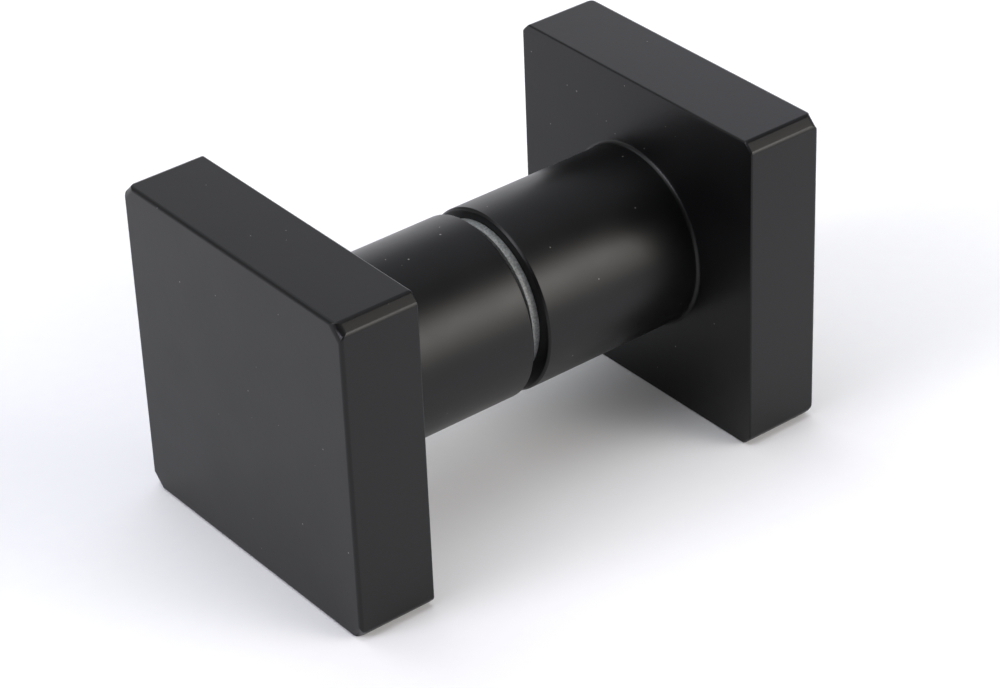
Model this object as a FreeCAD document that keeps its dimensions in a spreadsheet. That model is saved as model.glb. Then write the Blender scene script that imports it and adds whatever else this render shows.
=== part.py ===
"""Back-to-back square knob for a glass door, as it is closed up with no glass in it.

Two equal knobs face away from each other on one threaded stud. Each knob is turned and
milled from one square bar: a flat square head on a round neck. Two thin gaskets lie
between the ends of the necks, where the glass goes, and a plastic sleeve round the stud
keeps the metal off the edge of the hole in the glass.

Frame: the stud's axis is X, from the outer knob to the inner knob. Z is up, and the heads
rest on their lower flats. The origin is on the axis, where the two gaskets meet. All
lengths are in millimetres.
"""

import FreeCAD, Part
import Sketcher
import os

from FreeCAD import Placement, Rotation, Vector

# Driving dimensions. Each one is a cell of the sheet, under its own name.
SIZES = {
    # The square head
    "head_side": 40.0,
    "head_thickness": 10.0,
    "corner_chamfer": 1.1,
    "face_edge_radius": 0.6,
    # The round neck
    "neck_diameter": 22.2,
    "neck_length": 22.0,
    "neck_end_chamfer": 0.4,
    "neck_root_radius": 0.6,
    # The stud and its tapped bores, with the thread drawn at its outer diameter
    "stud_diameter": 8.0,
    "stud_length": 36.0,
    "stud_end_chamfer": 1.0,
    "thread_clearance": 0.05,
    "bore_runout": 3.0,
    "bore_lead_in": 0.6,
    "drill_point_angle": 118.0,
    # The sleeve that stands in the hole of the glass
    "sleeve_length": 8.4,
    "sleeve_wall": 1.6,
    "sleeve_on_stud_clearance": 0.2,
    "sleeve_end_chamfer": 0.3,
    "sleeve_end_play": 0.2,
    "sleeve_side_play": 0.2,
    # The gaskets on the two faces of the glass
    "gasket_thickness": 1.0,
    "gasket_margin": 1.7,
    "gasket_play": 0.5,
    "gasket_seat_gap": 0.05,
}

# Radii and depths that several pieces share, worked out from the cells.
STUD_RADIUS = "sizes.stud_diameter / 2"
BORE_RADIUS = f"({STUD_RADIUS} + sizes.thread_clearance)"
SLEEVE_INNER_RADIUS = f"({STUD_RADIUS} + sizes.sleeve_on_stud_clearance)"
SLEEVE_OUTER_RADIUS = f"({SLEEVE_INNER_RADIUS} + sizes.sleeve_wall)"
COUNTERBORE_RADIUS = f"({SLEEVE_OUTER_RADIUS} + sizes.sleeve_side_play)"
COUNTERBORE_DEPTH = "(sizes.sleeve_length / 2 - sizes.gasket_thickness + sizes.sleeve_end_play)"
BORE_DEPTH = "(sizes.stud_length / 2 - sizes.gasket_thickness + sizes.bore_runout)"
DRILL_TIP_LENGTH = f"({BORE_RADIUS} / tan(sizes.drill_point_angle / 2 * 1 deg))"
GASKET_INNER_RADIUS = f"({SLEEVE_OUTER_RADIUS} + sizes.gasket_play)"
GASKET_OUTER_RADIUS = "(sizes.neck_diameter / 2 - sizes.gasket_margin)"

TOLERANCE = 1e-4
HALF_TURN = Rotation(Vector(0, 0, 1), 180)


def add_sheet(doc):
    """Put every driving dimension in a cell of its own, with its name as the alias."""
    sheet = doc.addObject("Spreadsheet::Sheet", "sizes")
    for row, (name, value) in enumerate(SIZES.items(), start=1):
        sheet.set(f"A{row}", name)
        sheet.set(f"B{row}", str(value))
        sheet.setAlias(f"B{row}", name)
    doc.recompute()
    return sheet


def new_body(doc, label):
    """Start a piece whose label is also the name of its file."""
    body = doc.addObject("PartDesign::Body", label)
    body.Label = label
    return body


def new_sketch(body, name, plane_role, distance=None):
    """Lay a sketch on one of the body's own base planes, at a distance given in words."""
    plane = next(item for item in body.Origin.OriginFeatures if item.Role == plane_role)
    sketch = body.newObject("Sketcher::SketchObject", name)
    sketch.AttachmentSupport = [(plane, "")]
    sketch.MapMode = "FlatFace"
    if distance is not None:
        sketch.setExpression("AttachmentOffset.Base.z", distance)
    return sketch


def name_constraint(sketch, constraint, name, expression):
    """Add a dimension to a sketch and tie it to the sheet."""
    index = sketch.addConstraint(constraint)
    sketch.renameConstraint(index, name)
    sketch.setExpression(f"Constraints.{name}", expression)


def draw_square(sketch, side):
    """Draw a square that is centred on the sketch's origin."""
    corners = [Vector(-1, -1), Vector(1, -1), Vector(1, 1), Vector(-1, 1)]
    for index, corner in enumerate(corners):
        following = corners[(index + 1) % len(corners)]
        sketch.addGeometry(Part.LineSegment(corner, following))
    for index in range(len(corners)):
        following = (index + 1) % len(corners)
        sketch.addConstraint(Sketcher.Constraint("Coincident", index, 2, following, 1))
        direction = "Horizontal" if index % 2 == 0 else "Vertical"
        sketch.addConstraint(Sketcher.Constraint(direction, index))
    sketch.addConstraint(Sketcher.Constraint("Symmetric", 0, 1, 2, 1, -1, 1))
    name_constraint(sketch, Sketcher.Constraint("DistanceX", 0, 1, 0, 2, 2.0), "width", side)
    name_constraint(sketch, Sketcher.Constraint("DistanceY", 1, 1, 1, 2, 2.0), "height", side)


def draw_circle(sketch, name, radius):
    """Draw a circle round the sketch's origin."""
    index = sketch.addGeometry(Part.Circle(Vector(0, 0), Vector(0, 0, 1), 1.0))
    sketch.addConstraint(Sketcher.Constraint("Coincident", index, 3, -1, 1))
    name_constraint(sketch, Sketcher.Constraint("Radius", index, 1.0), name, radius)


def draw_half_section(sketch, corners):
    """Draw a closed outline from corners given as (name, distance along, radius) in words.

    A corner whose radius is None lies on the axis, which is the sketch's horizontal axis.
    """
    read = sketch.evalExpression
    places = [
        Vector(float(read(along)), 0.0 if radius is None else float(read(radius)))
        for _, along, radius in corners
    ]
    for index, place in enumerate(places):
        following = places[(index + 1) % len(places)]
        sketch.addGeometry(Part.LineSegment(place, following))
    for index, (name, along, radius) in enumerate(corners):
        following = (index + 1) % len(corners)
        sketch.addConstraint(Sketcher.Constraint("Coincident", index, 2, following, 1))
        place = places[index]
        name_constraint(
            sketch,
            Sketcher.Constraint("DistanceX", -1, 1, index, 1, place.x),
            f"{name}_along",
            along,
        )
        if radius is None:
            sketch.addConstraint(Sketcher.Constraint("PointOnObject", index, 1, -1))
            continue
        name_constraint(
            sketch,
            Sketcher.Constraint("DistanceY", -1, 1, index, 1, place.y),
            f"{name}_radius",
            radius,
        )


def add_pad(body, sketch, name, length):
    """Pad a sketch along its normal."""
    pad = body.newObject("PartDesign::Pad", name)
    pad.Profile = sketch
    pad.setExpression("Length", length)
    sketch.Visibility = False
    return pad


def add_turned(body, sketch, kind, name):
    """Turn a half section about the sketch's horizontal axis, to add or to cut."""
    feature = body.newObject(f"PartDesign::{kind}", name)
    feature.Profile = sketch
    feature.ReferenceAxis = (sketch, ["H_Axis"])
    feature.Angle = 360.0
    sketch.Visibility = False
    return feature


def find_edges(shape, wanted):
    """Give the names of the edges of a shape for which the test holds."""
    return [f"Edge{index}" for index, edge in enumerate(shape.Edges, start=1) if wanted(edge)]


def add_edge_feature(body, kind, name, base, wanted, size_name, size):
    """Chamfer or round the chosen edges of the feature before it."""
    body.Document.recompute()
    edges = find_edges(base.Shape, wanted)
    if not edges:
        raise RuntimeError(f"{body.Label}: no edge found for {name}")
    feature = body.newObject(f"PartDesign::{kind}", name)
    feature.Base = (base, edges)
    feature.setExpression(size_name, size)
    return feature


def lies_at(edge, along):
    """Tell whether a whole edge lies in the plane at this distance along X."""
    box = edge.BoundBox
    return abs(box.XMin - along) < TOLERANCE and abs(box.XMax - along) < TOLERANCE


def is_straight(edge):
    """Tell whether an edge is a straight line."""
    return isinstance(edge.Curve, Part.Line)


def is_circle(edge, radius):
    """Tell whether an edge is a circle, or an arc of one, of this radius."""
    return isinstance(edge.Curve, Part.Circle) and abs(edge.Curve.Radius - radius) < TOLERANCE


def add_head(body):
    """Pad the square head beyond the neck's length and chamfer its four corners."""
    sketch = new_sketch(body, f"{body.Label}_head_sketch", "YZ_Plane", "sizes.neck_length")
    draw_square(sketch, "sizes.head_side")
    head = add_pad(body, sketch, f"{body.Label}_head", "sizes.head_thickness")
    add_edge_feature(
        body,
        "Chamfer",
        f"{body.Label}_corners",
        head,
        lambda edge: is_straight(edge) and edge.BoundBox.XLength > TOLERANCE,
        "Size",
        "sizes.corner_chamfer",
    )


def add_neck(body):
    """Pad the round neck from its free end to the back of the head, and give it back."""
    sketch = new_sketch(body, f"{body.Label}_neck_sketch", "YZ_Plane")
    draw_circle(sketch, "neck_radius", "sizes.neck_diameter / 2")
    return add_pad(body, sketch, f"{body.Label}_neck", "sizes.neck_length")


def finish_edges(body, sheet, neck):
    """Round the outer face's rim and the root of the neck, and chamfer the neck's end."""
    neck_radius = float(sheet.neck_diameter) / 2
    neck_length = float(sheet.neck_length)
    outer_face = neck_length + float(sheet.head_thickness)
    rim = add_edge_feature(
        body,
        "Fillet",
        f"{body.Label}_face_rim",
        neck,
        lambda edge: is_straight(edge) and lies_at(edge, outer_face),
        "Radius",
        "sizes.face_edge_radius",
    )
    root = add_edge_feature(
        body,
        "Fillet",
        f"{body.Label}_neck_root",
        rim,
        lambda edge: is_circle(edge, neck_radius) and lies_at(edge, neck_length),
        "Radius",
        "sizes.neck_root_radius",
    )
    add_edge_feature(
        body,
        "Chamfer",
        f"{body.Label}_neck_end",
        root,
        lambda edge: is_circle(edge, neck_radius) and lies_at(edge, 0.0),
        "Size",
        "sizes.neck_end_chamfer",
    )


def add_bore(body):
    """Turn out the sleeve's counterbore and the tapped hole with its drill point."""
    sketch = new_sketch(body, f"{body.Label}_bore_sketch", "XY_Plane")
    draw_half_section(
        sketch,
        [
            ("mouth_centre", "0", None),
            ("mouth", "0", COUNTERBORE_RADIUS),
            ("step", COUNTERBORE_DEPTH, COUNTERBORE_RADIUS),
            ("lead_in", COUNTERBORE_DEPTH, f"{BORE_RADIUS} + sizes.bore_lead_in"),
            ("thread_start", f"{COUNTERBORE_DEPTH} + sizes.bore_lead_in", BORE_RADIUS),
            ("thread_end", BORE_DEPTH, BORE_RADIUS),
            ("drill_tip", f"{BORE_DEPTH} + {DRILL_TIP_LENGTH}", None),
        ],
    )
    add_turned(body, sketch, "Groove", f"{body.Label}_bore")


def make_knob(doc, sheet, label):
    """Make one knob with its neck's end at its own origin and its head out along X."""
    body = new_body(doc, label)
    add_head(body)
    neck = add_neck(body)
    finish_edges(body, sheet, neck)
    add_bore(body)
    return body


def make_stud(doc):
    """Make the headless stud that holds both knobs, chamfered at both ends."""
    body = new_body(doc, "threaded_stud")
    half = "sizes.stud_length / 2"
    tip_radius = f"{STUD_RADIUS} - sizes.stud_end_chamfer"
    shoulder = f"{half} - sizes.stud_end_chamfer"
    sketch = new_sketch(body, "stud_sketch", "XY_Plane")
    draw_half_section(
        sketch,
        [
            ("outer_end", f"-{half}", None),
            ("outer_tip", f"-{half}", tip_radius),
            ("outer_shoulder", f"-({shoulder})", STUD_RADIUS),
            ("inner_shoulder", shoulder, STUD_RADIUS),
            ("inner_tip", half, tip_radius),
            ("inner_end", half, None),
        ],
    )
    add_turned(body, sketch, "Revolution", "stud_turned")
    return body


def make_sleeve(doc):
    """Make the plastic sleeve that stands round the middle of the stud."""
    body = new_body(doc, "glass_sleeve")
    half = "sizes.sleeve_length / 2"
    shoulder = f"{half} - sizes.sleeve_end_chamfer"
    shoulder_radius = f"{SLEEVE_OUTER_RADIUS} - sizes.sleeve_end_chamfer"
    sketch = new_sketch(body, "sleeve_sketch", "XY_Plane")
    draw_half_section(
        sketch,
        [
            ("outer_bore", f"-{half}", SLEEVE_INNER_RADIUS),
            ("outer_tip", f"-{half}", shoulder_radius),
            ("outer_shoulder", f"-({shoulder})", SLEEVE_OUTER_RADIUS),
            ("inner_shoulder", shoulder, SLEEVE_OUTER_RADIUS),
            ("inner_tip", half, shoulder_radius),
            ("inner_bore", half, SLEEVE_INNER_RADIUS),
        ],
    )
    add_turned(body, sketch, "Revolution", "sleeve_turned")
    return body


def make_gasket(doc, label, start):
    """Make one flat gasket ring, which starts at this distance along X.

    The rings hang loose on the sleeve and are nipped by the necks off the axis, as far up
    as the play between ring and sleeve lets them go.
    """
    body = new_body(doc, label)
    sketch = new_sketch(body, f"{label}_sketch", "YZ_Plane")
    draw_circle(sketch, "outer_radius", GASKET_OUTER_RADIUS)
    draw_circle(sketch, "inner_radius", GASKET_INNER_RADIUS)
    add_pad(body, sketch, f"{label}_ring", "sizes.gasket_thickness")
    body.setExpression("Placement.Base.x", start)
    body.setExpression("Placement.Base.z", "sizes.gasket_play - sizes.gasket_seat_gap")
    return body


def build():
    """Build the document and give it back with the list of its pieces."""
    doc = FreeCAD.newDocument("glass_door_knob")
    sheet = add_sheet(doc)

    outer_knob = make_knob(doc, sheet, "outer_knob")
    outer_knob.Placement = Placement(Vector(), HALF_TURN)
    outer_knob.setExpression("Placement.Base.x", "-sizes.gasket_thickness")

    inner_knob = make_knob(doc, sheet, "inner_knob")
    inner_knob.setExpression("Placement.Base.x", "sizes.gasket_thickness")

    pieces = [
        outer_knob,
        inner_knob,
        make_stud(doc),
        make_sleeve(doc),
        make_gasket(doc, "outer_gasket", "-sizes.gasket_thickness"),
        make_gasket(doc, "inner_gasket", "0"),
    ]
    doc.recompute()
    return doc, pieces


def check(doc, pieces):
    """Stop before anything is written if an object failed or a piece isn't one good solid."""
    for item in doc.Objects:
        if "Invalid" in item.State or "Error" in item.State:
            raise RuntimeError(f"{item.Name} failed: {item.State}")
    for piece in pieces:
        shape = piece.Shape
        if shape.isNull() or not shape.isValid() or len(shape.Solids) != 1:
            raise RuntimeError(f"{piece.Label} isn't one valid solid")


def main():
    """Build, check and write one file for each piece."""
    doc, pieces = build()
    check(doc, pieces)
    os.makedirs("parts", exist_ok=True)
    for piece in pieces:
        solid = piece.Shape.Solids[0]
        solid.exportStep(os.path.join("parts", f"{piece.Label}.step"))
        print(f"{piece.Label}: {solid.Volume:.1f} cubic millimetres")


main()
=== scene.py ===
"""Dresses the back-to-back door knob for its render.

Two square knobs with round necks are screwed onto one threaded stud. A nylon sleeve stands
round the middle of the stud, and a vinyl gasket lies against the end of each neck, where
the glass of the door goes. All pieces are remade here with their small edges and threads,
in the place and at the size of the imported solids. Only the outer gasket is drawn smaller,
for the dark groove that shows beside its neck.
"""

import logging
import math
from collections.abc import Callable, Iterable
from dataclasses import dataclass
from enum import Enum
from typing import Any

import bmesh
import bpy
from bpy.types import Material, Node, NodeSocket, NodeTree, Object
from mathutils import Matrix, Vector

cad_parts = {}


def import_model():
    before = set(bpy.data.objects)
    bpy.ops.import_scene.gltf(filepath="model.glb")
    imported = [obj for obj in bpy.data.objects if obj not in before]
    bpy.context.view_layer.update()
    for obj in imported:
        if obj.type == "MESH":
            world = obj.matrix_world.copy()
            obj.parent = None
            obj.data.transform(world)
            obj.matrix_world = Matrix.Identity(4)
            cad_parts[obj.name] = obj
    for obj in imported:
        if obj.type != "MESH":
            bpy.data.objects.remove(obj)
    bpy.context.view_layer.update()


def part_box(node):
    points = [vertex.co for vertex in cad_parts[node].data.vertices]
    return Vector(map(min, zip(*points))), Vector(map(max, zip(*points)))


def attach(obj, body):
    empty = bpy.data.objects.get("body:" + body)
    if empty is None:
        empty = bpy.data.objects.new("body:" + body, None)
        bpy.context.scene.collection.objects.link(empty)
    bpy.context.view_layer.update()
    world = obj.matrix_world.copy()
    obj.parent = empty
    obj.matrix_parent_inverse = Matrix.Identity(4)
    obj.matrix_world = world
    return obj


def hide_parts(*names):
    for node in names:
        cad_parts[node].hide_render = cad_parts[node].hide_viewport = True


log = logging.getLogger("door_knob")

# Nothing on the object moves, so every piece rides on the one body.
BODY = "root"

# The photograph's width in pixels.
IMAGE_WIDTH = 1000

# Points nearer to each other than this, in metres, count as one point.
MERGE_DISTANCE = 1e-6

# A point nearer to a cutting plane than this, in millimetres, lies on it.
PLANE_TOLERANCE = 0.0005

# Edges of a turned piece that bend by more than this many degrees are its rims.
RIM_ANGLE = 30.0

# Faces across the eased rim of a turned piece.
EASE_STEPS = 2

# Arcs that are drawn point by point turn by this many degrees a step.
ARC_STEP = 15

# The middle of a quarter round lies about this share of its radius from both flats.
MID_ARC = 0.3

# The middle of a noise texture's range, which holds most of its pattern.
NOISE_SPAN = {"From Min": 0.3, "From Max": 0.7}

# The Mix node has sockets of one name for each data type, so its colours go by number.
MIX_FACTOR, MIX_FIRST, MIX_SECOND, MIX_RESULT = 0, 6, 7, 2


def mm(length: float) -> float:
    """Turn millimetres into Blender's metres."""
    return length / 1000.0


def in_mm(length: float) -> float:
    """Turn Blender's metres into millimetres."""
    return length * 1000.0


def direction(azimuth: float, elevation: float) -> Vector:
    """Give the direction from the object towards something round it.

    Args:
        azimuth: Degrees from the side of -Y, where 90 is +X.
        elevation: Degrees above the level.

    Returns:
        The direction, one unit long.
    """
    turn, rise = math.radians(azimuth), math.radians(elevation)
    return Vector(
        (math.sin(turn) * math.cos(rise), -math.cos(turn) * math.cos(rise), math.sin(rise))
    )


class Side(Enum):
    """The two ends of the set, by their direction along X."""

    OUTER = -1
    INNER = 1

    def along(self, distance: float) -> float:
        """Give the X of a place at this distance from the middle, on this side."""
        return self.value * distance

    def piece_name(self, part: str) -> str:
        """Name a piece of this side."""
        return f"{self.name.lower()}_{part}"


# Colours and nodes


def linear(colour: str) -> tuple[float, float, float, float]:
    """Turn an sRGB hex colour into the linear values that a shader takes.

    Args:
        colour: Six hex digits after a hash sign.

    Returns:
        Red, green and blue as linear values, with an alpha of 1.
    """
    channels = [int(colour[start : start + 2], 16) / 255.0 for start in (1, 3, 5)]
    red, green, blue = (
        c / 12.92 if c <= 0.04045 else ((c + 0.055) / 1.055) ** 2.4 for c in channels
    )
    return red, green, blue, 1.0


def add_node(
    tree: NodeTree,
    kind: str,
    settings: dict[str, Any] | None = None,
    inputs: dict[str | int, Any] | None = None,
) -> Node:
    """Add one node with its settings, values and incoming links.

    Args:
        tree: The node tree that gets the node.
        kind: The node's type name without its ShaderNode prefix.
        settings: Properties of the node.
        inputs: Values or other nodes' output sockets, by input name or number.

    Returns:
        The new node.
    """
    node = tree.nodes.new(f"ShaderNode{kind}")
    for name, value in (settings or {}).items():
        setattr(node, name, value)
    for name, value in (inputs or {}).items():
        if isinstance(value, NodeSocket):
            tree.links.new(value, node.inputs[name])
        else:
            node.inputs[name].default_value = value
    return node


def new_material(name: str) -> tuple[Material, NodeTree, Node]:
    """Start a node material.

    Args:
        name: What the material is and how its surface was made.

    Returns:
        The material, its tree and its output node.
    """
    material = bpy.data.materials.new(name)
    material.use_nodes = True
    material.node_tree.nodes.clear()
    output = add_node(material.node_tree, "OutputMaterial")
    return material, material.node_tree, output


def centred_coordinates(tree: NodeTree, centre: Vector) -> NodeSocket:
    """Read object coordinates with a piece's own centre as their origin.

    Args:
        tree: The material's tree.
        centre: The centre in metres.

    Returns:
        The mapped coordinates.
    """
    place = add_node(tree, "TexCoord")
    mapping = add_node(
        tree,
        "Mapping",
        inputs={"Vector": place.outputs["Object"], "Location": -centre},
    )
    return mapping.outputs["Vector"]


def per_metre(size: float) -> float:
    """Give the texture scale at which a pattern repeats every so many millimetres."""
    return 1.0 / mm(size)


# Finishes


@dataclass(frozen=True)
class BakedBlackCoating:
    """Electrophoretic black paint, dipped and baked, on machined metal.

    It gives the eye a nearly black, even satin: soft wide reflections, a pale rim where
    the light grazes it, and a skin with a trace of orange peel.
    """

    colour: str = "#09090a"
    thin_colour: str = "#0d0d0e"
    dust_colour: str = "#7c7975"
    ior: float = 1.357
    roughness: float = 0.34
    roughness_spread: float = 0.05
    drift_size: float = 7.0
    peel_size: float = 0.9
    grain_size: float = 0.22
    peel_height: float = 0.004
    grain_height: float = 0.0012
    dust_spacing: float = 1.7
    dust_radius: float = 0.14
    dust_threshold: float = 0.45

    def make(self, centre: Vector) -> Material:
        """Build the finish for one knob.

        Args:
            centre: The middle of the knob, for the pattern's origin.

        Returns:
            The material.
        """
        material, tree, output = new_material("baked_black_coating")
        place = centred_coordinates(tree, centre)

        # The coat's thickness drifts over a few millimetres and shifts gloss and colour.
        drift = add_node(
            tree,
            "TexNoise",
            inputs={"Vector": place, "Scale": per_metre(self.drift_size), "Detail": 3.0},
        )
        roughness = add_node(
            tree,
            "MapRange",
            inputs={
                "Value": drift.outputs["Fac"],
                **NOISE_SPAN,
                "To Min": self.roughness - self.roughness_spread / 2,
                "To Max": self.roughness + self.roughness_spread / 2,
            },
        )
        tint = add_node(
            tree,
            "Mix",
            {"data_type": "RGBA"},
            {
                MIX_FACTOR: drift.outputs["Fac"],
                MIX_FIRST: linear(self.colour),
                MIX_SECOND: linear(self.thin_colour),
            },
        )

        # Dust lies on the paint as a few pale specks, each in a cell of its own of a loose
        # net. Cells whose random value is under the threshold stay clean.
        speck = add_node(
            tree,
            "TexVoronoi",
            {"feature": "F1"},
            {"Vector": place, "Scale": per_metre(self.dust_spacing), "Randomness": 1.0},
        )
        chance = add_node(
            tree,
            "MapRange",
            inputs={
                "Value": speck.outputs["Color"],
                "From Min": self.dust_threshold,
                "From Max": 1.0,
                "To Min": 0.0,
                "To Max": self.dust_radius / self.dust_spacing,
            },
        )
        dusty = add_node(
            tree,
            "Math",
            {"operation": "LESS_THAN"},
            {0: speck.outputs["Distance"], 1: chance.outputs["Result"]},
        )
        colour = add_node(
            tree,
            "Mix",
            {"data_type": "RGBA"},
            {
                MIX_FACTOR: dusty.outputs[0],
                MIX_FIRST: tint.outputs[MIX_RESULT],
                MIX_SECOND: linear(self.dust_colour),
            },
        )

        # Orange peel about a millimetre across, and a finer grain that is drawn twice as
        # coarse as the real 0.1 mm so that it is not lost between pixels.
        peel = add_node(
            tree,
            "TexNoise",
            inputs={"Vector": place, "Scale": per_metre(self.peel_size), "Detail": 1.0},
        )
        grain = add_node(
            tree,
            "TexNoise",
            inputs={"Vector": place, "Scale": per_metre(self.grain_size), "Detail": 2.0},
        )
        peel_bump = add_node(
            tree,
            "Bump",
            inputs={
                "Height": peel.outputs["Fac"],
                "Distance": mm(self.peel_height),
                "Strength": 1.0,
            },
        )
        grain_bump = add_node(
            tree,
            "Bump",
            inputs={
                "Height": grain.outputs["Fac"],
                "Distance": mm(self.grain_height),
                "Strength": 1.0,
                "Normal": peel_bump.outputs["Normal"],
            },
        )
        paint = add_node(
            tree,
            "BsdfPrincipled",
            inputs={
                "Base Color": colour.outputs[MIX_RESULT],
                "Roughness": roughness.outputs["Result"],
                "IOR": self.ior,
                "Normal": grain_bump.outputs["Normal"],
            },
        )
        tree.links.new(paint.outputs["BSDF"], output.inputs["Surface"])
        return material


@dataclass(frozen=True)
class ZincPlatedSteel:
    """Rolled steel thread with bright zinc plating, slightly blue.

    It gives the eye a pale metal with small dull patches and rolling marks that run round
    the stud.
    """

    bright: str = "#c8ccd0"
    dull: str = "#9ea3a6"
    roughness_low: float = 0.24
    roughness_high: float = 0.42
    patch_size: float = 1.6
    mark_spacing: float = 0.12
    mark_height: float = 0.003
    mark_waver: float = 1.5

    def make(self, centre: Vector) -> Material:
        """Build the finish.

        Args:
            centre: The middle of the stud.

        Returns:
            The material.
        """
        material, tree, output = new_material("zinc_plated_steel")
        place = centred_coordinates(tree, centre)
        patches = add_node(
            tree,
            "TexNoise",
            inputs={"Vector": place, "Scale": per_metre(self.patch_size), "Detail": 4.0},
        )
        colour = add_node(
            tree,
            "Mix",
            {"data_type": "RGBA"},
            {
                MIX_FACTOR: patches.outputs["Fac"],
                MIX_FIRST: linear(self.bright),
                MIX_SECOND: linear(self.dull),
            },
        )
        roughness = add_node(
            tree,
            "MapRange",
            inputs={
                "Value": patches.outputs["Fac"],
                **NOISE_SPAN,
                "To Min": self.roughness_low,
                "To Max": self.roughness_high,
            },
        )
        # Rolling marks are bands across X, so they follow the stud round.
        marks = add_node(
            tree,
            "TexWave",
            {"wave_type": "BANDS", "bands_direction": "X"},
            {
                "Vector": place,
                "Scale": per_metre(self.mark_spacing) / (2 * math.pi),
                "Distortion": self.mark_waver,
                "Detail": 2.0,
            },
        )
        bump = add_node(
            tree,
            "Bump",
            inputs={
                "Height": marks.outputs["Fac"],
                "Distance": mm(self.mark_height),
                "Strength": 1.0,
            },
        )
        steel = add_node(
            tree,
            "BsdfPrincipled",
            inputs={
                "Base Color": colour.outputs[MIX_RESULT],
                "Metallic": 1.0,
                "Roughness": roughness.outputs["Result"],
                "Normal": bump.outputs["Normal"],
            },
        )
        tree.links.new(steel.outputs["BSDF"], output.inputs["Surface"])
        return material


@dataclass(frozen=True)
class NaturalNylon:
    """Undyed nylon, injection moulded.

    It gives the eye a milky off-white that light enters a little, with a fine moulded
    texture.
    """

    colour: str = "#e6e1d4"
    cloud_colour: str = "#d8d2c2"
    ior: float = 1.53
    roughness: float = 0.46
    scatter_weight: float = 0.35
    scatter_depth: float = 0.6
    scatter_shares: tuple[float, float, float] = (1.0, 0.8, 0.6)
    cloud_size: float = 3.5
    texture_size: float = 0.16
    texture_height: float = 0.002

    def make(self, centre: Vector) -> Material:
        """Build the finish.

        Args:
            centre: The middle of the sleeve.

        Returns:
            The material.
        """
        material, tree, output = new_material("natural_nylon_moulded")
        place = centred_coordinates(tree, centre)
        clouds = add_node(
            tree,
            "TexNoise",
            inputs={"Vector": place, "Scale": per_metre(self.cloud_size), "Detail": 2.0},
        )
        colour = add_node(
            tree,
            "Mix",
            {"data_type": "RGBA"},
            {
                MIX_FACTOR: clouds.outputs["Fac"],
                MIX_FIRST: linear(self.colour),
                MIX_SECOND: linear(self.cloud_colour),
            },
        )
        texture = add_node(
            tree,
            "TexNoise",
            inputs={"Vector": place, "Scale": per_metre(self.texture_size), "Detail": 2.0},
        )
        bump = add_node(
            tree,
            "Bump",
            inputs={
                "Height": texture.outputs["Fac"],
                "Distance": mm(self.texture_height),
                "Strength": 1.0,
            },
        )
        nylon = add_node(
            tree,
            "BsdfPrincipled",
            inputs={
                "Base Color": colour.outputs[MIX_RESULT],
                "Roughness": self.roughness,
                "IOR": self.ior,
                "Subsurface Weight": self.scatter_weight,
                "Subsurface Radius": self.scatter_shares,
                "Subsurface Scale": mm(self.scatter_depth),
                "Normal": bump.outputs["Normal"],
            },
        )
        tree.links.new(nylon.outputs["BSDF"], output.inputs["Surface"])
        return material


@dataclass(frozen=True)
class CloudyVinyl:
    """Soft unfilled vinyl, punched from a calendered sheet.

    It gives the eye a cloudy grey that lets some light through, speckled where the punch
    tore the edge and dust sits in it.
    """

    colour: str = "#b7baba"
    torn_colour: str = "#858888"
    ior: float = 1.54
    roughness: float = 0.4
    transmission: float = 0.35
    speckle_size: float = 0.24
    speckle_low: float = 0.36
    speckle_high: float = 0.64
    sheet_size: float = 0.3
    sheet_height: float = 0.004

    def make(self, centre: Vector) -> Material:
        """Build the finish.

        Args:
            centre: The middle of the gasket.

        Returns:
            The material.
        """
        material, tree, output = new_material("cloudy_vinyl_sheet")
        place = centred_coordinates(tree, centre)
        # The torn specks are about 0.1 mm across and drawn more than twice as coarse to show.
        specks = add_node(
            tree,
            "TexNoise",
            inputs={"Vector": place, "Scale": per_metre(self.speckle_size), "Detail": 3.0},
        )
        torn = add_node(
            tree,
            "MapRange",
            inputs={
                "Value": specks.outputs["Fac"],
                "From Min": self.speckle_low,
                "From Max": self.speckle_high,
            },
        )
        colour = add_node(
            tree,
            "Mix",
            {"data_type": "RGBA"},
            {
                MIX_FACTOR: torn.outputs["Result"],
                MIX_FIRST: linear(self.colour),
                MIX_SECOND: linear(self.torn_colour),
            },
        )
        sheet = add_node(
            tree,
            "TexNoise",
            inputs={"Vector": place, "Scale": per_metre(self.sheet_size), "Detail": 2.0},
        )
        bump = add_node(
            tree,
            "Bump",
            inputs={
                "Height": sheet.outputs["Fac"],
                "Distance": mm(self.sheet_height),
                "Strength": 1.0,
            },
        )
        vinyl = add_node(
            tree,
            "BsdfPrincipled",
            inputs={
                "Base Color": colour.outputs[MIX_RESULT],
                "Roughness": self.roughness,
                "IOR": self.ior,
                "Transmission Weight": self.transmission,
                "Normal": bump.outputs["Normal"],
            },
        )
        tree.links.new(vinyl.outputs["BSDF"], output.inputs["Surface"])
        return material


# Shaping


def draw_outline(
    mesh: bmesh.types.BMesh, outline: Iterable[tuple[float, float]]
) -> list[bmesh.types.BMVert | bmesh.types.BMEdge]:
    """Draw an open outline above the X axis, for a spin about that axis.

    Args:
        mesh: The mesh that gets the outline.
        outline: Points as (X, radius) in millimetres.

    Returns:
        The outline's points and edges.
    """
    corners = [mesh.verts.new((mm(along), 0.0, mm(radius))) for along, radius in outline]
    edges = [mesh.edges.new(pair) for pair in zip(corners, corners[1:])]
    return corners + edges


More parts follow.
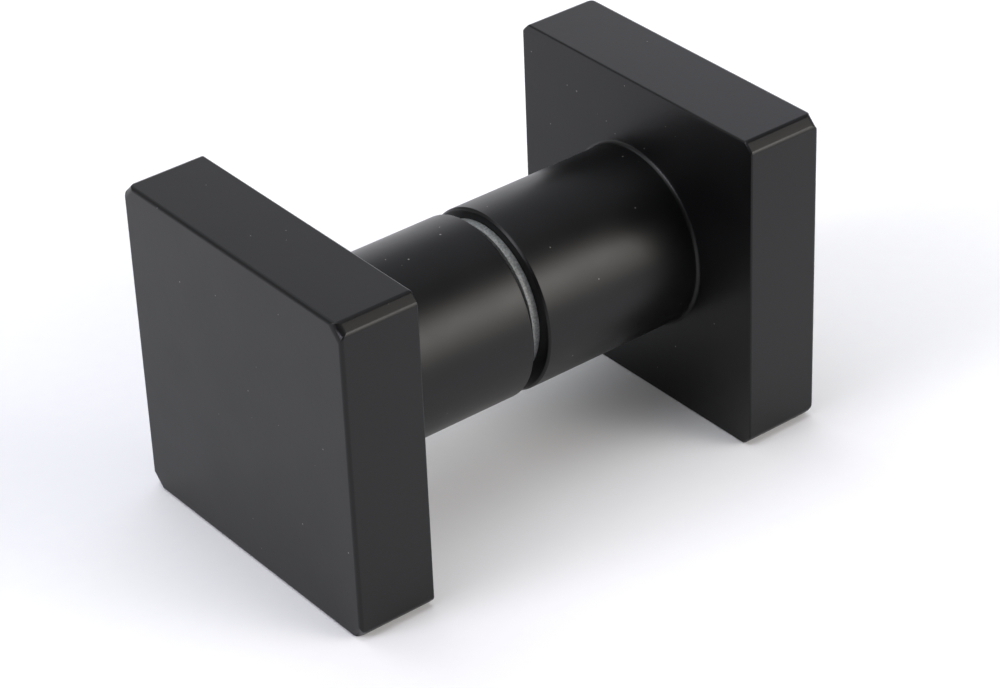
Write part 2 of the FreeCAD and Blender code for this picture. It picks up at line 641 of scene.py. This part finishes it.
def turn_outline(
    mesh: bmesh.types.BMesh, outline: Iterable[tuple[float, float]], steps: int
) -> None:
    """Turn an open outline about X, as on a lathe.

    Args:
        mesh: The mesh that gets the turned skin.
        outline: Points as (X, radius) in millimetres.
        steps: Faces round the turn.
    """
    bmesh.ops.spin(
        mesh,
        geom=draw_outline(mesh, outline),
        cent=(0.0, 0.0, 0.0),
        axis=(1.0, 0.0, 0.0),
        angle=2 * math.pi,
        steps=steps,
        use_merge=True,
    )


def clean_skin(mesh: bmesh.types.BMesh) -> None:
    """Merge doubled points and turn every face outwards."""
    bmesh.ops.remove_doubles(mesh, verts=mesh.verts[:], dist=MERGE_DISTANCE)
    bmesh.ops.recalc_face_normals(mesh, faces=mesh.faces[:])


def radius_of(vert: bmesh.types.BMVert) -> float:
    """Give a point's distance from the X axis in millimetres."""
    return in_mm(math.hypot(vert.co.y, vert.co.z))


def edges_on_plane(
    mesh: bmesh.types.BMesh, along: float, wanted: Callable[[bmesh.types.BMEdge], bool]
) -> list[bmesh.types.BMEdge]:
    """Find the edges that lie in a plane across X and pass a test.

    Args:
        mesh: The mesh to search.
        along: The plane's X in millimetres.
        wanted: The test for an edge in that plane.

    Returns:
        The edges.
    """
    return [
        edge
        for edge in mesh.edges
        if all(abs(vert.co.x - mm(along)) < MERGE_DISTANCE for vert in edge.verts)
        and wanted(edge)
    ]


def fill_plane(mesh: bmesh.types.BMesh, along: float) -> None:
    """Close the open loops in a plane across X with one flat face, holes kept.

    Args:
        mesh: The mesh to close.
        along: The plane's X in millimetres.
    """
    rims = edges_on_plane(mesh, along, lambda edge: edge.is_boundary)
    bmesh.ops.triangle_fill(mesh, edges=rims, use_beauty=True, use_dissolve=False)


def extrude_rim(
    mesh: bmesh.types.BMesh, rim: list[bmesh.types.BMEdge]
) -> tuple[list[bmesh.types.BMVert], list[bmesh.types.BMEdge]]:
    """Extrude an open rim, with the new rim still in the old one's place.

    Args:
        mesh: The mesh.
        rim: The edges of the open rim.

    Returns:
        The new points and the new edges.
    """
    grown = bmesh.ops.extrude_edge_only(mesh, edges=rim)["geom"]
    points = [item for item in grown if isinstance(item, bmesh.types.BMVert)]
    edges = [item for item in grown if isinstance(item, bmesh.types.BMEdge)]
    return points, edges


def soften(
    mesh: bmesh.types.BMesh, edges: list[bmesh.types.BMEdge], width: float, segments: int
) -> None:
    """Bevel edges to a chamfer or a rounding.

    Args:
        mesh: The mesh.
        edges: The edges to bevel.
        width: How far the bevel reaches from each edge, in millimetres.
        segments: Faces across the bevel, of which a flat chamfer has one.
    """
    bmesh.ops.bevel(
        mesh,
        geom=edges,
        offset=mm(width),
        offset_type="OFFSET",
        affect="EDGES",
        segments=segments,
        profile=0.5,
        material=-1,
        clamp_overlap=True,
    )


def ease_rims(mesh: bmesh.types.BMesh, width: float) -> None:
    """Ease every rim of a turned piece, whose rims all lie in planes across X.

    Args:
        mesh: The clean skin of the turned piece.
        width: How far the easing reaches from each rim, in millimetres.
    """
    rims = [
        edge
        for edge in mesh.edges
        if abs(edge.verts[0].co.x - edge.verts[1].co.x) < MERGE_DISTANCE
        and edge.calc_face_angle(0.0) > math.radians(RIM_ANGLE)
    ]
    soften(mesh, rims, width, EASE_STEPS)


@dataclass(frozen=True)
class Rounding:
    """How the edges that carry a share are rounded: the greatest width and its faces."""

    width: float
    segments: int

    def put_on(self, piece: Object) -> None:
        """Round the piece's edges, each by its share of the width in millimetres."""
        bevel = piece.modifiers.new("rounded_edges", "BEVEL")
        bevel.limit_method = "WEIGHT"
        bevel.offset_type = "OFFSET"
        bevel.width = mm(self.width)
        bevel.segments = self.segments
        bevel.profile = 0.5
        bevel.use_clamp_overlap = False
        bevel.material = -1


def finish_piece(
    mesh: bmesh.types.BMesh,
    name: str,
    material: Material,
    sharp_angle: float = 50.0,
    rounding: Rounding | None = None,
) -> Object:
    """Turn a shaped mesh into a finished piece that stands for its solid.

    Args:
        mesh: The shaped mesh, which is freed.
        name: The piece's name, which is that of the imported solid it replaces.
        material: Its finish.
        sharp_angle: Edges that turn by more than this many degrees stay sharp.
        rounding: How edges with a share are rounded, if any are.

    Returns:
        The piece's object.
    """
    clean_skin(mesh)
    shares = mesh.edges.layers.float.get("bevel_weight_edge")
    for edge in mesh.edges:
        rounded = shares is not None and edge[shares] > 0.0
        edge.smooth = rounded or edge.calc_face_angle(0.0) < math.radians(sharp_angle)
    for face in mesh.faces:
        face.smooth = True
    data = bpy.data.meshes.new(name)
    mesh.to_mesh(data)
    mesh.free()
    data.materials.append(material)
    piece = bpy.data.objects.new(name, data)
    bpy.context.scene.collection.objects.link(piece)
    if rounding is not None:
        rounding.put_on(piece)
    weighting = piece.modifiers.new("flat_faces_stay_flat", "WEIGHTED_NORMAL")
    weighting.mode = "FACE_AREA"
    weighting.weight = 100
    weighting.keep_sharp = True
    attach(piece, BODY)
    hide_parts(name)
    log.info("%s: %d faces", name, len(data.polygons))
    return piece


def middle_of(node: str) -> Vector:
    """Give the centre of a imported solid's box."""
    low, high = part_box(node)
    return (low + high) / 2


@dataclass(frozen=True)
class MetricThread:
    """The right-hand thread of the stud and both bores, one helix for all three.

    Lengths are in millimetres. It is a metric coarse thread: the flat of the crest is an
    eighth of the pitch, the flat of the root a sixth, and the depth 0.613 of it.
    """

    pitch: float = 1.25
    crest_radius: float = 4.0
    root_radius: float = 3.233
    crest_flat: float = 0.156
    root_flat: float = 0.208
    steps_per_turn: int = 48
    spare_turns: int = 2

    def add_wall(
        self,
        mesh: bmesh.types.BMesh,
        start: float,
        end: float,
        crest_play: float,
        root_play: float,
        limits: Callable[[float], tuple[float, float]],
    ) -> None:
        """Sweep the thread between two planes across X and cut it off flat at both.

        Args:
            mesh: The mesh that gets the threaded wall.
            start: X of the lower plane.
            end: X of the upper plane.
            crest_play: What the outer radius gains over the stud's.
            root_play: What the inner radius gains over the stud's.
            limits: For a place along X, the least and greatest radius of the wall there,
                which cut the lead-ins and run-outs.
        """
        flank = (self.pitch - self.crest_flat - self.root_flat) / 2
        root = self.root_radius + root_play
        crest = self.crest_radius + crest_play
        first_turn = math.floor(start / self.pitch) - self.spare_turns
        turns = math.ceil(end / self.pitch) + self.spare_turns - first_turn
        origin = first_turn * self.pitch
        outline = [
            (origin, root),
            (origin + self.root_flat, root),
            (origin + self.root_flat + flank, crest),
            (origin + self.root_flat + flank + self.crest_flat, crest),
            (origin + self.pitch, root),
        ]
        wall = bmesh.new()
        bmesh.ops.spin(
            wall,
            geom=draw_outline(wall, outline),
            cent=(0.0, 0.0, 0.0),
            axis=(1.0, 0.0, 0.0),
            dvec=(mm(self.pitch) / self.steps_per_turn, 0.0, 0.0),
            angle=2 * math.pi * turns,
            steps=self.steps_per_turn * turns,
            use_merge=False,
        )
        bmesh.ops.remove_doubles(wall, verts=wall.verts[:], dist=MERGE_DISTANCE)
        for along, outside in ((start, -1.0), (end, 1.0)):
            bmesh.ops.bisect_plane(
                wall,
                geom=wall.verts[:] + wall.edges[:] + wall.faces[:],
                dist=mm(PLANE_TOLERANCE),
                plane_co=(mm(along), 0.0, 0.0),
                plane_no=(outside, 0.0, 0.0),
                clear_outer=True,
            )
        for vert in wall.verts:
            least, greatest = limits(in_mm(vert.co.x))
            wanted = min(max(radius_of(vert), least), greatest)
            scale = wanted / radius_of(vert)
            vert.co.y *= scale
            vert.co.z *= scale
        # One bmesh takes in another's faces only by way of mesh data.
        carried = bpy.data.meshes.new("thread_wall")
        wall.to_mesh(carried)
        wall.free()
        mesh.from_mesh(carried)
        bpy.data.meshes.remove(carried)


# Pieces


@dataclass
class Knob:
    """A square head with a round neck, turned and tapped from the neck's end.

    Lengths are in millimetres, and places along X are counted from the middle of the set.
    The head's edges are rounded as by grinding and blasting: least at the back, more
    along the outer face, and most at its four corners.
    """

    side: Side
    thread: MetricThread
    finish: BakedBlackCoating
    # The head
    head_half: float = 20.0
    head_back: float = 23.0
    head_front: float = 33.0
    corner_chamfer: float = 1.1
    back_ring: float = 1.0
    front_rim_rounding: float = 0.48
    front_corner_rounding: float = 1.0
    chamfer_rounding: float = 0.3
    back_rounding: float = 0.22
    rounding_steps: int = 6
    # The neck
    neck_radius: float = 11.1
    neck_end: float = 1.0
    neck_end_chamfer: float = 0.25
    neck_end_ease: float = 0.06
    neck_root_radius: float = 0.45
    round_steps: int = 160
    # The mouth for the sleeve and the tapped bore
    mouth_radius: float = 6.0
    mouth_depth: float = 3.4
    mouth_ease: float = 0.2
    crest_play: float = 0.05
    root_play: float = 0.087
    lead_in: float = 0.6
    thread_end: float = 19.6
    bore_end: float = 21.0
    drill_point: float = 118.0

    def build(self) -> Object:
        """Shape and dress the knob.

        Returns:
            The finished piece.
        """
        name = self.side.piece_name("knob")
        mesh = bmesh.new()
        self.add_head(mesh)
        self.add_neck(mesh)
        self.add_bore(mesh)
        fill_plane(mesh, self.side.along(self.head_back))
        fill_plane(mesh, self.side.along(self.neck_end + self.mouth_depth))
        clean_skin(mesh)
        self.weigh_edges(mesh)
        material = self.finish.make(middle_of(name))
        return finish_piece(
            mesh,
            name,
            material,
            rounding=Rounding(self.front_corner_rounding, self.rounding_steps),
        )

    def add_head(self, mesh: bmesh.types.BMesh) -> None:
        """Cut the head from a block with chamfered corners, open at the back."""
        front = self.side.along(self.head_front)
        back = self.side.along(self.head_back)
        thickness = self.head_front - self.head_back
        placed = Matrix.Translation((mm((front + back) / 2), 0.0, 0.0)) @ Matrix.Diagonal(
            (mm(thickness), mm(2 * self.head_half), mm(2 * self.head_half), 1.0)
        )
        bmesh.ops.create_cube(mesh, size=1.0, matrix=placed)
        corners = [edge for edge in mesh.edges if self.runs_along(edge)]
        soften(mesh, corners, self.corner_chamfer, segments=1)
        back_face = [
            face
            for face in mesh.faces
            if all(abs(vert.co.x - mm(back)) < MERGE_DISTANCE for vert in face.verts)
        ]
        # A ring of plain faces keeps the rounding off the filling round the neck.
        bmesh.ops.inset_region(
            mesh, faces=back_face, thickness=mm(self.back_ring), use_even_offset=True
        )
        bmesh.ops.delete(mesh, geom=back_face, context="FACES_ONLY")

    def runs_along(self, edge: bmesh.types.BMEdge) -> bool:
        """Tell whether an edge runs along X for most of the head's thickness."""
        ends = [vert.co for vert in edge.verts]
        return abs(ends[0].x - ends[1].x) > mm(self.head_front - self.head_back) / 2

    def weigh_edges(self, mesh: bmesh.types.BMesh) -> None:
        """Give each edge of the head's outline its share of the greatest rounding."""
        shares = mesh.edges.layers.float.new("bevel_weight_edge")
        side = mm(self.head_half) - MERGE_DISTANCE
        for edge in mesh.edges:
            if all(max(abs(vert.co.y), abs(vert.co.z)) > side for vert in edge.verts):
                edge[shares] = self.rounding_at(edge) / self.front_corner_rounding

    def rounding_at(self, edge: bmesh.types.BMEdge) -> float:
        """Give the rounding of one edge of the head's outline."""
        if self.runs_along(edge):
            return self.chamfer_rounding
        if abs(edge.verts[0].co.x) < mm((self.head_front + self.head_back) / 2):
            return self.back_rounding
        if edge.calc_length() < mm(self.head_half):
            return self.front_corner_rounding
        return self.front_rim_rounding

    def add_neck(self, mesh: bmesh.types.BMesh) -> None:
        """Turn the neck with its root, its end, the mouth for the sleeve and their edges."""
        turns = [math.radians(ARC_STEP * step) for step in range(90 // ARC_STEP + 1)]
        root = [
            (
                self.head_back - self.neck_root_radius * (1 - math.cos(turn)),
                self.neck_radius + self.neck_root_radius * (1 - math.sin(turn)),
            )
            for turn in turns
        ]
        # The chamfer of the neck's end is flat, and each of its corners turns by 45 degrees
        # and is eased by an arc, whose radius is the bend.
        shoulder = self.neck_end + self.neck_end_chamfer + self.neck_end_ease
        rim = self.neck_radius - self.neck_end_chamfer - self.neck_end_ease
        bend = self.neck_end_ease / math.tan(math.radians(45 / 2))
        eases = turns[: 45 // ARC_STEP + 1]
        end = [
            (shoulder - bend * math.sin(turn), self.neck_radius - bend * (1 - math.cos(turn)))
            for turn in eases
        ]
        end += [
            (self.neck_end + bend * (1 - math.cos(turn)), rim + bend * math.sin(turn))
            for turn in reversed(eases)
        ]
        eased = self.mouth_ease * MID_ARC
        mouth = [
            (self.neck_end, self.mouth_radius + self.mouth_ease),
            (self.neck_end + eased, self.mouth_radius + eased),
            (self.neck_end + self.mouth_ease, self.mouth_radius),
            (self.neck_end + self.mouth_depth, self.mouth_radius),
        ]
        outline = [(self.side.along(along), radius) for along, radius in root + end + mouth]
        turn_outline(mesh, outline, self.round_steps)

    def add_bore(self, mesh: bmesh.types.BMesh) -> None:
        """Tap the bore: a lead-in cone, the thread, its run-out and the drill's point."""
        mouth_floor = self.side.along(self.neck_end + self.mouth_depth)
        deep = self.side.along(self.thread_end)
        start, end = sorted((mouth_floor, deep))
        self.thread.add_wall(mesh, start, end, self.crest_play, self.root_play, self.bore_limits)
        rim = edges_on_plane(mesh, deep, lambda edge: edge.is_boundary)
        ring, rim = extrude_rim(mesh, rim)
        straight = self.side.along(self.bore_end - self.thread_end)
        bmesh.ops.translate(mesh, verts=ring, vec=(mm(straight), 0.0, 0.0))
        ring, _ = extrude_rim(mesh, rim)
        point_length = self.drill_radius() / math.tan(math.radians(self.drill_point / 2))
        tip = self.bore_end + point_length
        apex = Vector((mm(self.side.along(tip)), 0.0, 0.0))
        bmesh.ops.pointmerge(mesh, verts=ring, merge_co=apex)

    def drill_radius(self) -> float:
        """Give the radius of the hole before its thread is cut."""
        return self.thread.root_radius + self.root_play

    def bore_limits(self, along: float) -> tuple[float, float]:
        """Give the least and greatest radius at a place on X, for lead-in and run-out.

        Args:
            along: The place on X.

        Returns:
            The least and the greatest radius.
        """
        depth = abs(along)
        drill_radius = self.drill_radius()
        lead_radius = self.thread.crest_radius + self.crest_play + self.lead_in
        least = lead_radius - (depth - (self.neck_end + self.mouth_depth))
        greatest = drill_radius + max(0.0, self.thread_end - depth)
        return max(least, drill_radius), max(greatest, drill_radius)


@dataclass
class Stud:
    """The headless threaded stud that holds both knobs.

    Lengths are in millimetres.
    """

    thread: MetricThread
    finish: ZincPlatedSteel
    half_length: float = 18.0
    end_chamfer: float = 1.0
    sharp_angle: float = 38.0

    def build(self) -> Object:
        """Roll the thread over the whole length, chamfer both ends and dress the stud.

        Returns:
            The finished piece.
        """
        mesh = bmesh.new()
        self.thread.add_wall(mesh, -self.half_length, self.half_length, 0.0, 0.0, self.limits)
        for end in (-self.half_length, self.half_length):
            fill_plane(mesh, end)
        material = self.finish.make(middle_of("threaded_stud"))
        return finish_piece(
            mesh, "threaded_stud", material, sharp_angle=self.sharp_angle
        )

    def limits(self, along: float) -> tuple[float, float]:
        """Give the least and greatest radius at a place on X, for the end chamfers.

        Args:
            along: The place on X.

        Returns:
            The least and the greatest radius.
        """
        tip = self.thread.crest_radius - self.end_chamfer
        return 0.0, tip + max(0.0, self.half_length - abs(along))


@dataclass
class GlassSleeve:
    """The nylon sleeve that keeps the stud off the edge of the hole in the glass.

    Lengths are in millimetres.
    """

    finish: NaturalNylon
    half_length: float = 4.2
    inner_radius: float = 4.2
    outer_radius: float = 5.8
    end_chamfer: float = 0.3
    ease: float = 0.08
    round_steps: int = 96

    def build(self) -> Object:
        """Turn the sleeve, ease its edges and dress it.

        Returns:
            The finished piece.
        """
        shoulder = self.half_length - self.end_chamfer
        tip = self.outer_radius - self.end_chamfer
        outline = [
            (-self.half_length, tip),
            (-shoulder, self.outer_radius),
            (shoulder, self.outer_radius),
            (self.half_length, tip),
            (self.half_length, self.inner_radius),
            (-self.half_length, self.inner_radius),
            (-self.half_length, tip),
        ]
        mesh = bmesh.new()
        turn_outline(mesh, outline, self.round_steps)
        clean_skin(mesh)
        ease_rims(mesh, self.ease)
        material = self.finish.make(middle_of("glass_sleeve"))
        return finish_piece(mesh, "glass_sleeve", material)


@dataclass
class Gasket:
    """A flat ring that lies between a neck's end and the glass.

    Lengths are in millimetres.
    """

    side: Side
    finish: CloudyVinyl
    thickness: float = 1.0
    inner_radius: float = 6.3
    outer_radius: float = 9.4
    lift: float = 0.45
    ease: float = 0.03
    shrink: float = 0.7
    round_steps: int = 144

    def build(self) -> Object:
        """Punch the ring, ease its edges, lift it off the axis and dress it.

        Returns:
            The finished piece.
        """
        name = self.side.piece_name("gasket")
        near, far = 0.0, self.side.along(self.thickness)
        # The outer knob's ring is the smaller one, so a dark groove shows beside its neck.
        rim = self.outer_radius - (self.shrink if self.side is Side.OUTER else 0.0)
        outline = [
            (near, self.inner_radius),
            (near, rim),
            (far, rim),
            (far, self.inner_radius),
            (near, self.inner_radius),
        ]
        mesh = bmesh.new()
        turn_outline(mesh, outline, self.round_steps)
        clean_skin(mesh)
        ease_rims(mesh, self.ease)
        bmesh.ops.translate(mesh, verts=mesh.verts[:], vec=(0.0, 0.0, mm(self.lift)))
        material = self.finish.make(middle_of(name))
        return finish_piece(mesh, name, material)


# Studio


@dataclass(frozen=True)
class SoftLight:
    """One round soft light of the studio, far away, brightest in its middle.

    Angles are in degrees. Azimuth 0 is the side of -Y and azimuth 90 is +X, and the spread
    is the angle from the middle at which the light has fallen to half.
    """

    name: str
    azimuth: float
    elevation: float
    spread: float
    radiance: float
    colour: str = "#ffffff"

    def shine(self, tree: NodeTree, toward: NodeSocket) -> NodeSocket:
        """Add the light to the world's nodes.

        Args:
            tree: The world's tree.
            toward: The direction in which the world is looked at.

        Returns:
            The light's colour in that direction.
        """
        middle = direction(self.azimuth, self.elevation)
        # The light falls off as exp(sharpness * (cosine - 1)), with the cosine of the angle
        # from its middle, and is down to half at the spread.
        sharpness = math.log(2.0) / (1.0 - math.cos(math.radians(self.spread)))
        nearness = add_node(
            tree,
            "VectorMath",
            {"operation": "DOT_PRODUCT", "label": self.name},
            {0: toward, 1: middle},
        )
        power = add_node(
            tree,
            "Math",
            {"operation": "MULTIPLY_ADD"},
            {0: nearness.outputs["Value"], 1: sharpness, 2: -sharpness},
        )
        glow = add_node(tree, "Math", {"operation": "EXPONENT"}, {0: power.outputs[0]})
        tinted = Vector(linear(self.colour)[:3]) * self.radiance
        lit = add_node(
            tree, "VectorMath", {"operation": "SCALE"}, {0: tinted, "Scale": glow.outputs[0]}
        )
        return lit.outputs["Vector"]


@dataclass(frozen=True)
class PaperSweep:
    """Matte white background paper, which gives the eye an even white that keeps shadows."""

    colour: str = "#f7f7f9"
    fibre_colour: str = "#f3f3f6"
    fibre_size: float = 2.5
    roughness: float = 0.9
    lift: float = 0.05

    def make(self) -> Material:
        """Build the paper, which looks a little lighter than the lamps alone make it.

        Returns:
            The material.
        """
        material, tree, output = new_material("matte_paper_sweep")
        place = centred_coordinates(tree, Vector((0.0, 0.0, 0.0)))
        fibres = add_node(
            tree,
            "TexNoise",
            inputs={"Vector": place, "Scale": per_metre(self.fibre_size), "Detail": 4.0},
        )
        colour = add_node(
            tree,
            "Mix",
            {"data_type": "RGBA"},
            {
                MIX_FACTOR: fibres.outputs["Fac"],
                MIX_FIRST: linear(self.colour),
                MIX_SECOND: linear(self.fibre_colour),
            },
        )
        paper = add_node(
            tree,
            "BsdfPrincipled",
            inputs={
                "Base Color": colour.outputs[MIX_RESULT],
                "Roughness": self.roughness,
                "Specular IOR Level": 0.0,
            },
        )
        # The lift shows to the camera, in gloss and through the vinyl, and lights nothing.
        path = add_node(tree, "LightPath")
        seen = path.outputs["Is Camera Ray"]
        for ray in ("Is Glossy Ray", "Is Transmission Ray"):
            either = {0: seen, 1: path.outputs[ray]}
            seen = add_node(tree, "Math", {"operation": "MAXIMUM"}, either).outputs[0]
        lift = add_node(tree, "Math", {"operation": "MULTIPLY"}, {0: seen, 1: self.lift})
        glow = add_node(
            tree, "Emission", inputs={"Color": (1.0, 1.0, 1.0, 1.0), "Strength": lift.outputs[0]}
        )
        both = add_node(
            tree, "AddShader", inputs={0: paper.outputs["BSDF"], 1: glow.outputs["Emission"]}
        )
        tree.links.new(both.outputs["Shader"], output.inputs["Surface"])
        return material


@dataclass
class Studio:
    """The white table and the lights round it: a dark room with banks of diffused lamps.

    Lengths are in millimetres. The lights' places and strengths are matched to the tones of
    the faces and of the round necks in the photograph.
    """

    floor_height: float = -20.02
    floor_radius: float = 3000.0
    floor_sides: int = 96
    paper: PaperSweep = PaperSweep()
    lights: tuple[SoftLight, ...] = (
        SoftLight("front_lamp", 33.5, 24.0, 8.7, 5.54, "#fffaf6"),
        SoftLight("front_lamp_top", 35.0, 34.0, 8.7, 2.78, "#fffaf0"),
        SoftLight("front_left_lamp", 15.0, 22.0, 8.7, 2.02),
        SoftLight("front_glow", 30.0, 8.0, 18.1, 3.26, "#fffaf0"),
        SoftLight("right_lamp", 52.0, 22.0, 8.7, 4.6, "#fffcfc"),
        SoftLight("back_right_glow", 120.0, 8.0, 18.1, 2.35, "#eff0ff"),
        SoftLight("back_glow", 150.0, 8.0, 18.1, 1.0),
        SoftLight("back_left_glow", -145.0, 10.0, 18.1, 0.62),
        SoftLight("back_bounce", 180.0, 60.0, 18.1, 1.76, "#f9fdff"),
        SoftLight("ceiling", 0.0, 90.0, 18.1, 2.44, "#f8faff"),
        SoftLight("left_lamp", -100.0, 25.0, 8.7, 10.6, "#f4f2ff"),
        SoftLight("left_lamp_top", -100.0, 42.0, 8.7, 5.33, "#fbfbff"),
        SoftLight("left_bounce", -90.0, 60.0, 12.4, 1.07),
    )

    def build(self) -> None:
        """Lay the floor and light the room."""
        self.lay_floor()
        self.light_room()
        bpy.context.scene.view_settings.view_transform = "Standard"

    def lay_floor(self) -> None:
        """Lay the round table top under the heads."""
        mesh = bmesh.new()
        bmesh.ops.create_circle(
            mesh, cap_ends=True, segments=self.floor_sides, radius=mm(self.floor_radius)
        )
        bmesh.ops.translate(mesh, verts=mesh.verts[:], vec=(0.0, 0.0, mm(self.floor_height)))
        data = bpy.data.meshes.new("floor")
        mesh.to_mesh(data)
        mesh.free()
        data.materials.append(self.paper.make())
        floor = bpy.data.objects.new("floor", data)
        bpy.context.scene.collection.objects.link(floor)

    def light_room(self) -> None:
        """Make the world the sum of the soft lights."""
        world = bpy.data.worlds.new("studio_lights")
        bpy.context.scene.world = world
        world.use_nodes = True
        tree = world.node_tree
        tree.nodes.clear()
        toward = add_node(tree, "TexCoord").outputs["Generated"]
        glows = [light.shine(tree, toward) for light in self.lights]
        total = glows[0]
        for glow in glows[1:]:
            added = add_node(tree, "VectorMath", {"operation": "ADD"}, {0: total, 1: glow})
            total = added.outputs["Vector"]
        background = add_node(tree, "Background", inputs={"Color": total, "Strength": 1.0})
        output = add_node(tree, "OutputWorld")
        tree.links.new(background.outputs["Background"], output.inputs["Surface"])


@dataclass
class PhotoCamera:
    """The camera at the photograph's place, from a fit to the edges of both knobs.

    Lengths are in millimetres and angles in degrees.
    """

    azimuth: float = -37.3768
    elevation: float = 32.6987
    roll: float = -2.336
    distance: float = 382.296
    right_shift: float = 2.2193
    up_shift: float = -4.6263
    focal_pixels: float = 3384.644
    sensor_width: float = 36.0
    nearest: float = 10.0
    farthest: float = 20000.0

    def build(self) -> None:
        """Make the camera and hand it to the scene."""
        azimuth, roll = math.radians(self.azimuth), math.radians(self.roll)
        back = direction(self.azimuth, self.elevation)
        level_right = Vector((math.cos(azimuth), math.sin(azimuth), 0.0))
        level_up = back.cross(level_right)
        right = math.cos(roll) * level_right + math.sin(roll) * level_up
        up = math.cos(roll) * level_up - math.sin(roll) * level_right
        lens = bpy.data.cameras.new("photo_camera")
        lens.sensor_fit = "HORIZONTAL"
        lens.sensor_width = self.sensor_width
        lens.lens = self.focal_pixels / IMAGE_WIDTH * self.sensor_width
        lens.clip_start = mm(self.nearest)
        lens.clip_end = mm(self.farthest)
        camera = bpy.data.objects.new("photo_camera", lens)
        turned = Matrix((right, up, back)).transposed().to_4x4()
        place = back * mm(self.distance) + right * mm(self.right_shift) + up * mm(self.up_shift)
        camera.matrix_world = Matrix.Translation(place) @ turned
        bpy.context.scene.collection.objects.link(camera)
        bpy.context.scene.camera = camera


def main() -> None:
    """Load the frame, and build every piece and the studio."""
    logging.basicConfig(level=logging.INFO, format="%(name)s: %(message)s")
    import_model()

    thread = MetricThread()
    coating = BakedBlackCoating()
    vinyl = CloudyVinyl()
    pieces = []
    for side in Side:
        pieces.append(Knob(side, thread, coating).build())
        pieces.append(Gasket(side, vinyl).build())
    pieces.append(Stud(thread, ZincPlatedSteel()).build())
    pieces.append(GlassSleeve(NaturalNylon()).build())
    log.info("%d pieces: %s", len(pieces), ", ".join(piece.name for piece in pieces))
    Studio().build()
    PhotoCamera().build()


if __name__ == "__main__":
    main()
